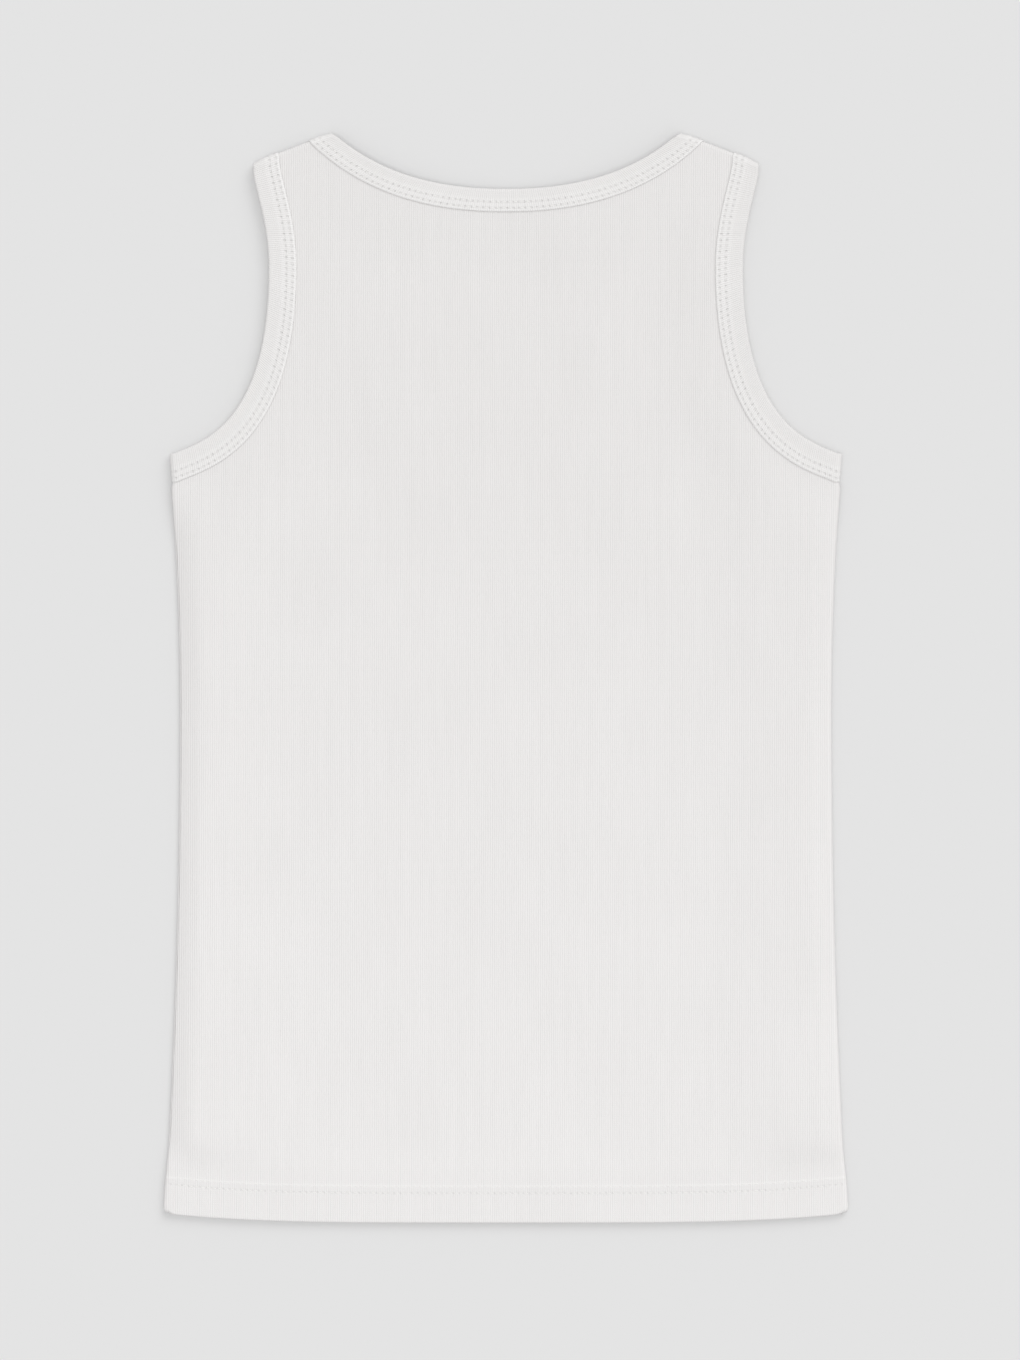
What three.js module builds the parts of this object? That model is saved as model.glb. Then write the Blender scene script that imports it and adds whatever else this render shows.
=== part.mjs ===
// A child's fine rib tank top laid flat on its front, back panel up, in millimetres.
// +X runs across the chest, +Y up to the shoulders, +Z up from the surface it lies on.
// Five sewn pieces: two panels with turned-up hems, a neck binding and two armhole bindings.
import * as THREE from "three";

// Cloth
const wall = 1.0;
const gap = 0.3;
const layer = wall + gap;
const clothColour = 0xeeedeb;

// Outline of the laid garment, right half, origin at the middle of its box
const highPoint = new THREE.Vector2(78.4, 245.1);
const shoulderTip = new THREE.Vector2(113.9, 231.6);
const armholeMiddle = new THREE.Vector2(106.3, 184.0);
const underarm = new THREE.Vector2(150.6, 99.7);
const backNeckDepth = 26.0;
const frontNeckDepth = 105.0;
const waist = { y: -15, half: 145.3 };
const chestHalf = 150.0;
const hipLevel = -212;
const hipHalf = 151.0;
const hemFlare = { start: -208, end: -232, amount: 1.1 };
const hemEdge = { middle: -244.6, sideRise: 4.0, sideAt: 150, power: 4.2 };
const hemCorner = 3.0;

// Sewn widths
const neckBand = 10.3;
const armBand = 12.4;
const hemDepth = 17.0;

// How far a binding, a hem or a rolled side lifts the cloth beside it
const bandMargin = 3;
const armEase = 20;
const neckEase = 20;
const ridgeEase = 30;
const sagEase = 56;
const sideEase = 34;
const hemEase = 16;

// Layer heights, counted from the middle of the folded stack
const seamRadius = gap / 2 + wall + gap + wall / 2;
const liningRadius = seamRadius - layer;
const coverRadius = seamRadius + layer;
const fullSupport = 3 * layer;
const shoulderInset = coverRadius + wall / 2;
const bandFold = layer + wall / 2;
const rawEdgeClearance = 0.7;
const cutInset = bandFold + rawEdgeClearance;
const seamCosineLimit = 0.7;

// Mesh steps
const curveSteps = 48;
const endReach = 10;
const sideColumns = 5;
const legSteps = 2;
const armholeStations = 16;
const backNeckStations = 12;
const frontNeckStations = 14;
const turnParts = [0, 0.34, 0.67, 0.93, 1];
const foldSteps = 4;
const rowsBelowArmhole = [276, 224, 170, 120, 80, 52, 38, 29, 21, 14, 7, 0];
const hemRows = [9, hemDepth + 1.5, hemDepth + 9, hemDepth + hemEase];
const hemTopMargin = 3;

// The cut armhole edge is parted here, between its upright stretch and the one by the side fold
const armholeParting = { x: 116.5, y: 140 };
const sideBlockLean = 2;

const { smoothstep, lerp } = THREE.MathUtils;

function bezier(...points) {
  return new THREE.CubicBezierCurve(...points.map((p) => new THREE.Vector2(p.x, p.y))).getPoints(curveSteps);
}

// Finished edges of the right half, each from the shoulder down

const armholeEdge = [
  ...bezier(shoulderTip, { x: 113.9, y: 222 }, { x: armholeMiddle.x, y: 205 }, armholeMiddle),
  ...bezier(armholeMiddle, { x: armholeMiddle.x, y: 110.7 }, { x: 138.7, y: 105 }, underarm).slice(1),
];

function neckEdge(depth, shoulderControl, centreControlX) {
  const centreY = highPoint.y - depth;
  return bezier(highPoint, shoulderControl, { x: centreControlX, y: centreY }, { x: 0, y: centreY });
}

const backNeckEdge = neckEdge(backNeckDepth, { x: 51.7, y: 220.2 }, 16.7);
const frontNeckEdge = neckEdge(frontNeckDepth, { x: 80.5, y: 196 }, 50);

function hemLine(x) {
  return hemEdge.middle + hemEdge.sideRise * Math.pow(Math.abs(x) / hemEdge.sideAt, hemEdge.power);
}

const cornerLevel = hemLine(hemEdge.sideAt);
const hemTop = cornerLevel + hemDepth + hemEase + hemTopMargin;

// Half width of the laid garment: a shallow waist, a flare at the hem and rounded corners
function sideHalf(y) {
  const above = y > waist.y;
  const reach = above ? underarm.y - waist.y : waist.y - hipLevel;
  const gain = (above ? chestHalf : hipHalf) - waist.half;
  const flare = hemFlare.amount * smoothstep(-y, -hemFlare.start, -hemFlare.end);
  const down = Math.max(0, hemCorner - (y - cornerLevel));
  const corner = hemCorner - Math.sqrt(Math.max(0, hemCorner ** 2 - down ** 2));
  return waist.half + gain * ((y - waist.y) / reach) ** 2 + flare - corner;
}

// Line helpers on arrays of Vector2

// A line moved to its right by a distance, with both ends run on past the folds that cut it
function inset(line, distance) {
  const last = line.length - 1;
  const moved = line.map((point, k) => {
    const along = line[Math.min(k + 1, last)].clone().sub(line[Math.max(k - 1, 0)]).normalize();
    return new THREE.Vector2(point.x + along.y * distance, point.y - along.x * distance);
  });
  const before = line[0].clone().sub(line[1]).setLength(endReach).add(moved[0]);
  const after = line[last].clone().sub(line[last - 1]).setLength(endReach).add(moved[last]);
  return [before, ...moved, after];
}

// Keeps the stretch where side(point) is positive, and ends it where that side is zero
function clip(line, side) {
  const kept = [];
  line.forEach((point, k) => {
    const here = side(point);
    if (k > 0) {
      const before = side(line[k - 1]);
      if (before * here < 0) kept.push(line[k - 1].clone().lerp(point, before / (before - here)));
    }
    if (here >= 0) kept.push(point);
  });
  return kept;
}

function lengths(line) {
  const sums = [0];
  for (let k = 1; k < line.length; k += 1) sums.push(sums[k - 1] + line[k].distanceTo(line[k - 1]));
  return sums;
}

function pointAt(line, fraction) {
  const sums = lengths(line);
  const target = fraction * sums[sums.length - 1];
  let k = 1;
  while (k < line.length - 1 && sums[k] < target) k += 1;
  const part = (target - sums[k - 1]) / (sums[k] - sums[k - 1]);
  return line[k - 1].clone().lerp(line[k], Math.min(1, Math.max(0, part)));
}

function evenly(steps) {
  return Array.from({ length: steps + 1 }, (_, k) => k / steps);
}

function resample(line, steps) {
  return evenly(steps).map((fraction) => pointAt(line, fraction));
}

// Distance to a line, negative on the left of its way down, which is the cloth side of a neck edge
function distanceTo(line, x, y) {
  let best = Infinity;
  let sign = 1;
  for (let k = 1; k < line.length; k += 1) {
    const a = line[k - 1];
    const b = line[k];
    const dx = b.x - a.x;
    const dy = b.y - a.y;
    const part = Math.min(1, Math.max(0, ((x - a.x) * dx + (y - a.y) * dy) / (dx * dx + dy * dy)));
    const away = Math.hypot(x - a.x - part * dx, y - a.y - part * dy);
    if (away < best) {
      best = away;
      sign = (x - a.x) * dy - (y - a.y) * dx > 0 ? 1 : -1;
    }
  }
  return best * sign;
}

// The shoulder fold: its plan direction, its outward side, and the line it turns about

const shoulderAlong = shoulderTip.clone().sub(highPoint).normalize();
const shoulderOut = new THREE.Vector2(-shoulderAlong.y, shoulderAlong.x);
const shoulderAxis = highPoint.clone().addScaledVector(shoulderOut, -shoulderInset);

function belowShoulder(point) {
  return -(point.clone().sub(shoulderAxis).dot(shoulderOut));
}

// At the underarm the side fold turns about a line as far inside the outline as the stack is high
function insideSide(point) {
  return sideHalf(point.y) - shoulderInset - point.x;
}

// Lines inside the cloth, a distance from its finished edges, between the folds or the centre line

function armholeInset(distance) {
  return clip(clip(inset(armholeEdge, distance), belowShoulder), insideSide);
}

function neckInset(line, distance) {
  return clip(clip(inset(line, -distance), belowShoulder), (point) => point.x);
}

// A panel turns this far round a fold and stops short of the seam
function seamAngle(radius) {
  return Math.acos(Math.min(seamCosineLimit, gap / 2 / (radius - wall / 2)));
}

function turnAngles(radius) {
  return turnParts.map((part) => part * seamAngle(radius));
}

// Lift of the cloth, from 0 to 1

function near(distance, full, ease) {
  return 1 - smoothstep(distance, full, full + ease);
}

function union(...shares) {
  return 1 - shares.reduce((rest, share) => rest * (1 - share), 1);
}

function armholeShare(x, y) {
  return near(Math.abs(distanceTo(armholeEdge, x, y)), armBand + bandMargin, armEase);
}

// How far a panel rises to make room for the leg of its own bindings
function ownLift(neckLine, x, y) {
  const neck = near(Math.abs(distanceTo(neckLine, x, y)), neckBand + bandMargin, neckEase);
  return union(armholeShare(x, y), neck);
}

// Top of what lies under the back panel: bare floor in the front neckline, else the front piece
function support(x, y) {
  const fromNeck = -distanceTo(frontNeckEdge, x, y);
  const inScoop = fromNeck < 0;
  const ridge = inScoop
    ? near(-fromNeck, bandMargin, sagEase)
    : near(fromNeck, neckBand + bandMargin, ridgeEase);
  const rolledSide = near(sideHalf(y) - shoulderInset - x, 0, sideEase);
  const hem = near(y - hemLine(x), hemDepth + bandMargin, hemEase);
  const rise = union(ridge, rolledSide, hem, armholeShare(x, y));
  return lerp(inScoop ? 0 : layer, fullSupport, rise);
}

function frontHeight(x, y) {
  return wall / 2 + layer * ownLift(frontNeckEdge, Math.abs(x), y);
}

function backHeight(x, y) {
  const side = Math.abs(x);
  return support(side, y) + wall / 2 + layer * ownLift(backNeckEdge, side, y);
}

// Middle of the folded stack, as a panel's own height gives it
function frontMiddle(x, y) {
  return frontHeight(x, y) + seamRadius;
}

function backMiddle(x, y) {
  return backHeight(x, y) - seamRadius;
}

// A sheet collects patches of its middle surface, and becomes a closed solid of one wall

class Sheet {
  constructor() {
    this.points = [];
    this.quads = [];
    this.index = new Map();
  }

  vertex(point) {
    const key = [point.x, point.y, point.z].map((value) => Math.round(value * 1000)).join(",");
    if (!this.index.has(key)) {
      this.index.set(key, this.points.length);
      this.points.push(point);
    }
    return this.index.get(key);
  }

  addPatch(rows, mirrored = false) {
    const ids = rows.map((row) => row.map((point) => this.vertex(
      mirrored ? new THREE.Vector3(-point.x, point.y, point.z) : point)));
    for (let j = 1; j < ids.length; j += 1) {
      for (let i = 1; i < ids[j].length; i += 1) {
        const [a, b, c, d] = [ids[j - 1][i - 1], ids[j - 1][i], ids[j][i], ids[j][i - 1]];
        this.quads.push(mirrored ? [a, d, c, b] : [a, b, c, d]);
      }
    }
  }

  normals() {
    const sums = this.points.map(() => new THREE.Vector3());
    for (const quad of this.quads) {
      const [a, b, c, d] = quad.map((id) => this.points[id]);
      const normal = c.clone().sub(a).cross(d.clone().sub(b));
      quad.forEach((id) => sums[id].add(normal));
    }
    return sums.map((sum) => sum.normalize());
  }

  solid() {
    const half = wall / 2;
    const count = this.points.length;
    const normals = this.normals();
    const outer = this.points.map((point, k) => point.clone().addScaledVector(normals[k], half));
    const inner = this.points.map((point, k) => point.clone().addScaledVector(normals[k], -half));
    const faces = [];
    const edges = new Map();
    const addQuad = (a, b, c, d) => faces.push(a, b, c, a, c, d);
    for (const quad of this.quads) {
      const [a, b, c, d] = quad;
      addQuad(a, b, c, d);
      addQuad(a + count, d + count, c + count, b + count);
      quad.forEach((from, k) => edges.set(`${from},${quad[(k + 1) % 4]}`, [from, quad[(k + 1) % 4]]));
    }
    for (const [from, to] of edges.values()) {
      if (!edges.has(`${to},${from}`)) addQuad(from, from + count, to + count, to);
    }
    const geometry = new THREE.BufferGeometry();
    const values = [...outer, ...inner].flatMap((point) => [point.x, point.y, point.z]);
    geometry.setAttribute("position", new THREE.Float32BufferAttribute(values, 3));
    geometry.setIndex(faces);
    geometry.computeVertexNormals();
    return geometry;
  }
}

// A patch between four lines whose corners meet, blended from its edges
function blendedPlan(bottom, top, left, right, across, up) {
  return up.map((v, j) => across.map((u, i) => {
    const edges = bottom[i].clone().multiplyScalar(1 - v).addScaledVector(top[i], v)
      .addScaledVector(left[j], 1 - u).addScaledVector(right[j], u);
    const corners = bottom[0].clone().multiplyScalar((1 - u) * (1 - v))
      .addScaledVector(bottom[bottom.length - 1], u * (1 - v))
      .addScaledVector(top[0], (1 - u) * v)
      .addScaledVector(top[top.length - 1], u * v);
    return edges.sub(corners);
  }));
}

function straight(from, to, fractions) {
  return fractions.map((fraction) => from.clone().lerp(to, fraction));
}

// Panels

function panel({ facing, neckLine, height, ownMiddle, otherMiddle, otherNeckLine, strapLevel, neckColumns,
  strapColumns, strapRows, upperRows }) {
  const sheet = new Sheet();
  const raise = (plan) => plan.map((row) => row.map((p) => new THREE.Vector3(p.x, p.y, height(p.x, p.y))));
  const add = (rows) => {
    sheet.addPatch(rows);
    sheet.addPatch(rows, true);
  };

  // Cut edges under the bindings
  const armCut = armholeInset(cutInset);
  const neckCut = neckInset(neckLine, cutInset);
  const otherNeckCut = neckInset(otherNeckLine, cutInset);
  const turnOff = armCut.findIndex((p) => p.x > armholeParting.x && p.y < armholeParting.y);
  const strapOff = armCut.findIndex((p) => p.y < strapLevel.arm);
  const neckOff = neckCut.findIndex((p) => p.y < strapLevel.neck);
  const armCorner = armCut[turnOff];
  const strapArm = armCut[strapOff];
  const strapNeck = neckCut[neckOff];

  // Side fold: the line it turns about, with its height
  const axisX = (y) => sideHalf(y) - Math.min(shoulderInset, ownMiddle(sideHalf(y) - shoulderInset, y));
  const axisPoint = (y) => new THREE.Vector2(axisX(y), y);
  const turned = (y, angle, radius) => {
    const axis = axisPoint(y);
    const middle = ownMiddle(axis.x, y);
    const out = radius * Math.sin(angle);
    return new THREE.Vector3(axis.x + out, y, middle + facing * radius * Math.cos(angle));
  };
  const panelTurn = turnAngles(seamRadius);

  // Block beside the side fold, from the hem to the underarm
  const rowYs = [hemTop, ...rowsBelowArmhole.map((drop) => armCorner.y - drop)];
  const rowParts = rowYs.map((y) => (y - rowYs[0]) / (rowYs[rowYs.length - 1] - rowYs[0]));
  const columnParts = evenly(sideColumns);
  const armLow = resample(armCut.slice(turnOff), sideColumns);
  const underarmY = armLow[sideColumns].y;
  const innerX = armCorner.x - sideBlockLean;
  const bodyCorner = new THREE.Vector2(innerX, hemTop);
  const sideLine = rowParts.map((part) => axisPoint(lerp(hemTop, underarmY, part)));
  const sideBottom = straight(bodyCorner, sideLine[0], columnParts);
  const innerLine = straight(bodyCorner, armCorner, rowParts);
  add(raise(blendedPlan(sideBottom, armLow, innerLine, sideLine, columnParts, rowParts)));
  add(sideLine.map((p) => panelTurn.map((angle) => turned(p.y, angle, seamRadius))));

  // Middle block, from the hem to the neckline
  const armMiddle = resample(armCut.slice(strapOff, turnOff + 1).reverse(), upperRows);
  const rightLine = [...innerLine, ...armMiddle.slice(1)];
  const rise = rightLine.map((p) => (p.y - hemTop) / (strapArm.y - hemTop));
  const neckLow = resample(neckCut.slice(neckOff).reverse(), neckColumns);
  const centreLine = straight(new THREE.Vector2(0, hemTop), neckLow[0], rise);
  const strapLine = straight(strapNeck, strapArm, evenly(strapColumns));
  const topLine = [...neckLow, ...strapLine.slice(1)];
  const across = topLine.map((p) => p.x / strapArm.x);
  const bodyBottom = straight(centreLine[0], bodyCorner, across);
  add(raise(blendedPlan(bodyBottom, topLine, centreLine, rightLine, across, rise)));

  // Strap, and its half of the fold over the shoulder
  const strapParts = evenly(strapRows);
  const neckHigh = resample(neckCut.slice(0, neckOff + 1).reverse(), strapRows);
  const armHigh = resample(armCut.slice(0, strapOff + 1).reverse(), strapRows);
  const shoulder = straight(neckHigh[strapRows], armHigh[strapRows], evenly(strapColumns));
  add(raise(blendedPlan(strapLine, shoulder, neckHigh, armHigh, evenly(strapColumns), strapParts)));
  const otherShoulder = straight(otherNeckCut[0], armHigh[strapRows], evenly(strapColumns));
  add(panelTurn.map((angle) => shoulder.map((own, k) => {
    const share = angle / Math.PI;
    const p = own.clone().lerp(otherShoulder[k], share);
    const middle = lerp(ownMiddle(own.x, own.y), otherMiddle(otherShoulder[k].x, otherShoulder[k].y), share);
    const out = seamRadius * Math.sin(angle);
    return new THREE.Vector3(p.x + shoulderOut.x * out, p.y + shoulderOut.y * out,
      middle + facing * seamRadius * Math.cos(angle));
  })));

  // Hem: the outer layer, a fold at the edge, and the turned-up allowance inside up to the side fold
  const bodyRow = [...bodyBottom, ...sideBottom.slice(1)];
  const axisTop = sideLine[0].x;
  const foldCentre = (seamRadius + liningRadius) / 2;
  const foldRadius = (seamRadius - liningRadius) / 2;
  const edgeCentre = foldRadius + wall / 2;
  const hemMiddle = wall / 2 + seamRadius;
  const hemPlan = (up) => {
    const share = axisX(hemLine(axisTop) + up) / axisTop;
    return bodyRow.map((p) => new THREE.Vector2(p.x * share, hemLine(p.x) + up));
  };
  const insideRow = (up, radius) => hemPlan(up).map((p) => (
    new THREE.Vector3(p.x, p.y, hemMiddle + facing * radius)));
  const allowance = [hemDepth, edgeCentre].map((up) => insideRow(up, liningRadius));
  const fold = evenly(foldSteps).slice(1, -1).map((part) => {
    const angle = Math.PI * (1 - part);
    return insideRow(edgeCentre - foldRadius * Math.sin(angle), foldCentre + foldRadius * Math.cos(angle));
  });
  const outerPlan = [...[edgeCentre, ...hemRows].map(hemPlan), bodyRow];
  add([...allowance, ...fold, ...raise(outerPlan)]);
  add(outerPlan.map((row) => panelTurn.map((angle) => turned(row[row.length - 1].y, angle, seamRadius))));
  return sheet.solid();
}

// Bindings: rings of a folded strip, one leg over each face of the panels

// A stretch of ring between its folded edge and its stitched edge, on one face of the garment
function bandStations(edgeLine, stitchedLine, steps, facing, middle) {
  const folded = resample(edgeLine, steps);
  const stitched = resample(stitchedLine, steps);
  return folded.map((edge, k) => ({
    edge,
    stitched: stitched[k],
    middle,
    out: new THREE.Vector2(0, 0),
    up: facing,
  }));
}

// The half turn that carries a strip from one face of the garment to the other
function turnStations(from, to, outward) {
  const quarter = turnAngles(seamRadius).slice(1, 3);
  const angles = [...quarter, Math.PI / 2, ...quarter.map((angle) => Math.PI - angle).reverse()];
  return angles.map((angle) => {
    const part = angle / Math.PI;
    return {
      edge: from.edge.clone().lerp(to.edge, part),
      stitched: from.stitched.clone().lerp(to.stitched, part),
      middle: () => lerp(from.middle(from.edge.x, from.edge.y), to.middle(to.edge.x, to.edge.y), part),
      out: outward.clone().multiplyScalar(Math.sin(angle)),
      up: from.up * Math.cos(angle),
    };
  });
}

function bandSection({ edge, stitched, middle, out, up }) {
  const across = edge.clone().sub(stitched).normalize();
  const place = (p, height) => new THREE.Vector3(p.x + out.x * height, p.y + out.y * height,
    middle(p.x, p.y) + up * height);
  const outerLeg = straight(stitched, edge, evenly(legSteps)).map((p) => place(p, coverRadius));
  const fold = evenly(foldSteps).slice(1, -1).map((part) => {
    const angle = part * Math.PI;
    const p = edge.clone();
    const point = place(p, seamRadius + layer * Math.cos(angle));
    const reach = layer * Math.sin(angle);
    return point.add(new THREE.Vector3(across.x * reach, across.y * reach, 0));
  });
  const innerLeg = straight(edge, stitched, evenly(legSteps)).map((p) => place(p, liningRadius));
  return [...outerLeg, ...fold, ...innerLeg];
}

function ring(stations, mirrored = false) {
  const sheet = new Sheet();
  sheet.addPatch([...stations, stations[0]].map(bandSection), mirrored);
  return sheet.solid();
}

function mirrorPoint(p) {
  return new THREE.Vector2(-p.x, p.y);
}

function mirrorStation(station) {
  return {
    ...station,
    edge: mirrorPoint(station.edge),
    stitched: mirrorPoint(station.stitched),
    out: mirrorPoint(station.out),
  };
}

function armholeBinding(mirrored) {
  const folded = armholeInset(bandFold);
  const stitched = armholeInset(armBand);
  const back = bandStations(folded, stitched, armholeStations, 1, backMiddle);
  const front = bandStations(folded, stitched, armholeStations, -1, frontMiddle).reverse();
  const sideways = new THREE.Vector2(1, 0);
  const stations = [
    ...back,
    ...turnStations(back[armholeStations], front[0], sideways),
    ...front,
    ...turnStations(front[armholeStations], back[0], shoulderOut),
  ];
  return ring(stations, mirrored);
}

function neckBinding() {
  const half = (line, steps, facing, middle) => {
    return bandStations(neckInset(line, bandFold), neckInset(line, neckBand), steps, facing, middle);
  };
  const both = (stations) => [...stations, ...stations.slice(0, -1).reverse().map(mirrorStation)];
  const back = both(half(backNeckEdge, backNeckStations, 1, backMiddle));
  const front = both(half(frontNeckEdge, frontNeckStations, -1, frontMiddle)).reverse();
  const outLeft = mirrorPoint(shoulderOut);
  return ring([
    ...back,
    ...turnStations(back[back.length - 1], front[0], outLeft),
    ...front,
    ...turnStations(front[front.length - 1], back[0], shoulderOut),
  ]);
}

const garment = new THREE.Group();

function addPiece(name, geometry) {
  const material = new THREE.MeshStandardMaterial({ color: clothColour, roughness: 0.95, metalness: 0 });
  const mesh = new THREE.Mesh(geometry, material);
  mesh.name = name;
  garment.add(mesh);
}

addPiece("front_panel", panel({
  facing: -1,
  neckLine: frontNeckEdge,
  height: frontHeight,
  ownMiddle: frontMiddle,
  otherMiddle: backMiddle,
  otherNeckLine: backNeckEdge,
  strapLevel: { arm: 152, neck: 160 },
  neckColumns: 5,
  strapColumns: 4,
  strapRows: 6,
  upperRows: 3,
}));
addPiece("back_panel", panel({
  facing: 1,
  neckLine: backNeckEdge,
  height: backHeight,
  ownMiddle: backMiddle,
  otherMiddle: frontMiddle,
  otherNeckLine: frontNeckEdge,
  strapLevel: { arm: 205, neck: 229 },
  neckColumns: 7,
  strapColumns: 5,
  strapRows: 3,
  upperRows: 10,
}));
addPiece("neck_binding", neckBinding());
addPiece("armhole_binding_left", armholeBinding(true));
addPiece("armhole_binding_right", armholeBinding(false));

export default garment;
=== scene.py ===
# A child's fine rib tank top laid flat on its front, seen from straight above with its back panel up.
# Each CAD node is dressed by a thin shell of cloth on the same form, with its sewing, relief and finish.
# Lengths are in millimetres in the cloth's own code, and become metres where a mesh is made.
import math

import bpy
import numpy as np
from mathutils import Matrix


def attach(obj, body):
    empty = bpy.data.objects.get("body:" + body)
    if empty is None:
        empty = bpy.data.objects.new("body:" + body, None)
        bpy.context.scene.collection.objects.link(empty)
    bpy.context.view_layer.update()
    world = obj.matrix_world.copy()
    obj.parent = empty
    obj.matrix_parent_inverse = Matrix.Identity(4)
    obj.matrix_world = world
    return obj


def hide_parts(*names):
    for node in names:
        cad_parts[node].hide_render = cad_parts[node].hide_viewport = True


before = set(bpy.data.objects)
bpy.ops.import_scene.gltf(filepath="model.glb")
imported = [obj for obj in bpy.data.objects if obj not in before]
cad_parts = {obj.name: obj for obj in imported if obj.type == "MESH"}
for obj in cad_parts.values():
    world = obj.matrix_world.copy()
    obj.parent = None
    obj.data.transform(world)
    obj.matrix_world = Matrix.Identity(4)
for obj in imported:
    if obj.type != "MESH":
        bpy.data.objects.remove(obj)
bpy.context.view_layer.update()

METRE = 0.001
TINY = 1e-12

# Cloth at its real thickness, where the solids have thicker walls and wider gaps
WALL = 0.8
GAP = 0.12
LAYER = WALL + GAP

# Wales and courses of the knit, and its sewing
RIB_PITCH = 0.98
COURSE_PITCH = 0.82
STITCH_PITCH = 2.64
THREAD_RADIUS = 0.16

# Outline of the laid garment, right half: the CAD's, with the side folds up to 1.2 mm further out
HIGH_POINT = (78.4, 245.1)
SHOULDER_TIP = (113.9, 231.6)
ARMHOLE_MIDDLE = (106.3, 184.0)
UNDERARM = (150.6, 99.7)
BACK_NECK_DEPTH = 26.0
FRONT_NECK_DEPTH = 105.0
WAIST_Y = -15
WAIST_HALF = 146.1
CHEST_HALF = 151.2
HIP_LEVEL = -212
HIP_HALF = 151.3
FLARE_START = -208
FLARE_END = -232
FLARE = 0.8
HEM_MIDDLE = -244.6
HEM_SIDE_RISE = 4.0
HEM_SIDE_AT = 150
HEM_POWER = 4.2
HEM_CORNER = 3.0

# Sewn widths, and the stitched rows as distances from a strip's stitched edge or from the hem's edge
NECK_BAND = 10.3
ARM_BAND = 12.4
HEM_DEPTH = 17.0
BAND_ROWS = (1.7, 4.8)
BAND_DIPS = (0.08, 0.11)
LIP = 0.6
HEM_ROWS = (13.2, 16.3)
HEM_DIPS = (0.07, -0.1)
FLOOR_HEM_DIPS = (0.14, 0.14)
ROW_WIDTH = 0.75
EDGE_DIP = 0.2
EDGE_WIDTH = 0.5
EDGE_TAPER = (0.4, 0.8)

# A binding is pressed where it turns over a fold: it lies lower, thinner and smoother there
PRESSED_DROP = 0.25
PRESSED_THINNING = 0.5
PRESSED_SMOOTHING = 0.5

# How far a binding, a hem, a rolled side or the neckline's ridge lifts the cloth beside it
BAND_MARGIN = 3
ARM_EASE = 28
NECK_EASE = 28
RIDGE_EASE = 74
SAG_EASE = 84
SIDE_EASE = 58
HEM_EASE = 16

# How far below an armhole's binding the side fold reaches its full width
BOUND_EASE = 3

# Layer heights, counted from the middle of the folded stack
SEAM_RADIUS = GAP / 2 + WALL + GAP + WALL / 2
LINING_RADIUS = SEAM_RADIUS - LAYER
COVER_RADIUS = SEAM_RADIUS + LAYER

# Height of the front piece's stack, and how far inside the outline the garment folds, a binding folds
# and a panel is cut
FULL_SUPPORT = 3 * LAYER
FOLD_INSET = COVER_RADIUS + WALL / 2
BAND_FOLD = LAYER + WALL / 2
CUT_MARGIN = 0.7
CUT_INSET = BAND_FOLD + CUT_MARGIN

# Panels' edges nearly touch at their folds here, where the solids keep the CAD's gap
SEAM_SLIT = 0.06

# Soft shapes of the flat cloth: its levels over the front neckline and over the body, the rolled sides'
# crest, the slope outside it, and how tightly a fold is pressed
SCOOP_LEVEL = 1.1
BODY_LEVEL = 1.7
SIDE_CREST = 5.6
LEFT_EDGE_DROP = 3.9
RIGHT_EDGE_DROP = 1.5
EDGE_REACH = 10
SIDE_LOWER = 0.2
FOLD_SQUARENESS = 0.62

# Mesh steps, and the places where a panel's blocks of mesh meet
CURVE_STEPS = 64
END_REACH = 10
TURN_STEPS = 9
SIDE_COLUMNS = 14
BODY_ROWS = 112
FOLD_STEPS = 12
HEM_TOP_MARGIN = 3
ARMHOLE_PARTING = (116.5, 140)
SIDE_BLOCK_LEAN = 2
SLOPE_STEP = 0.4
STATION_STEP = 1.25
LEAST_STATIONS = 8
MERGE_STEPS_PER_MM = 1000

# Rows of points up the outer layer of a hem, close together about its stitches
FINE_BELOW = 2.4
FINE_ABOVE = 2.5
FINE_STEP = 0.4
ROWS_BELOW_FINE = 7
ROWS_ABOVE_FINE = 9
HEM_PATH_MARGIN = 1
PATH_STEPS_PER_STITCH = 4

# Points across a binding's leg, from its stitched edge: the lip, the rows, and the rest to the fold
LIP_STOPS = (0, 0.5, 1.1)
ROW_STOP_STEP = 0.62
ROW_STOP_SLACK = 0.1
PAST_ROWS = 0.8
FOLD_STOPS = 5


def smoothstep(value, low, high):
    part = np.clip((value - low) / (high - low), 0, 1)
    return part * part * (3 - 2 * part)


def near(distance, full, ease):
    return 1 - smoothstep(distance, full, full + ease)


def union(*shares):
    rest = 1.0
    for share in shares:
        rest = rest * (1 - share)
    return 1 - rest


def mix(low, high, share):
    return low + (high - low) * share


# Lines in plan, as arrays of points


def bezier(*points):
    t = np.linspace(0, 1, CURVE_STEPS + 1)[:, None]
    a, b, c, d = (np.array(p, dtype=float) for p in points)
    return a * (1 - t) ** 3 + 3 * b * t * (1 - t) ** 2 + 3 * c * t**2 * (1 - t) + d * t**3


# The middle two points of each curve only steer it
ARMHOLE_EDGE = np.vstack([
    bezier(SHOULDER_TIP, (113.9, 222), (ARMHOLE_MIDDLE[0], 205), ARMHOLE_MIDDLE),
    bezier(ARMHOLE_MIDDLE, (ARMHOLE_MIDDLE[0], 110.7), (138.7, 105), UNDERARM)[1:],
])


def neck_edge(depth, shoulder_control, centre_control_x):
    centre_y = HIGH_POINT[1] - depth
    return bezier(HIGH_POINT, shoulder_control, (centre_control_x, centre_y), (0, centre_y))


BACK_NECK_EDGE = neck_edge(BACK_NECK_DEPTH, (51.7, 220.2), 16.7)
FRONT_NECK_EDGE = neck_edge(FRONT_NECK_DEPTH, (80.5, 196), 50)


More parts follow.
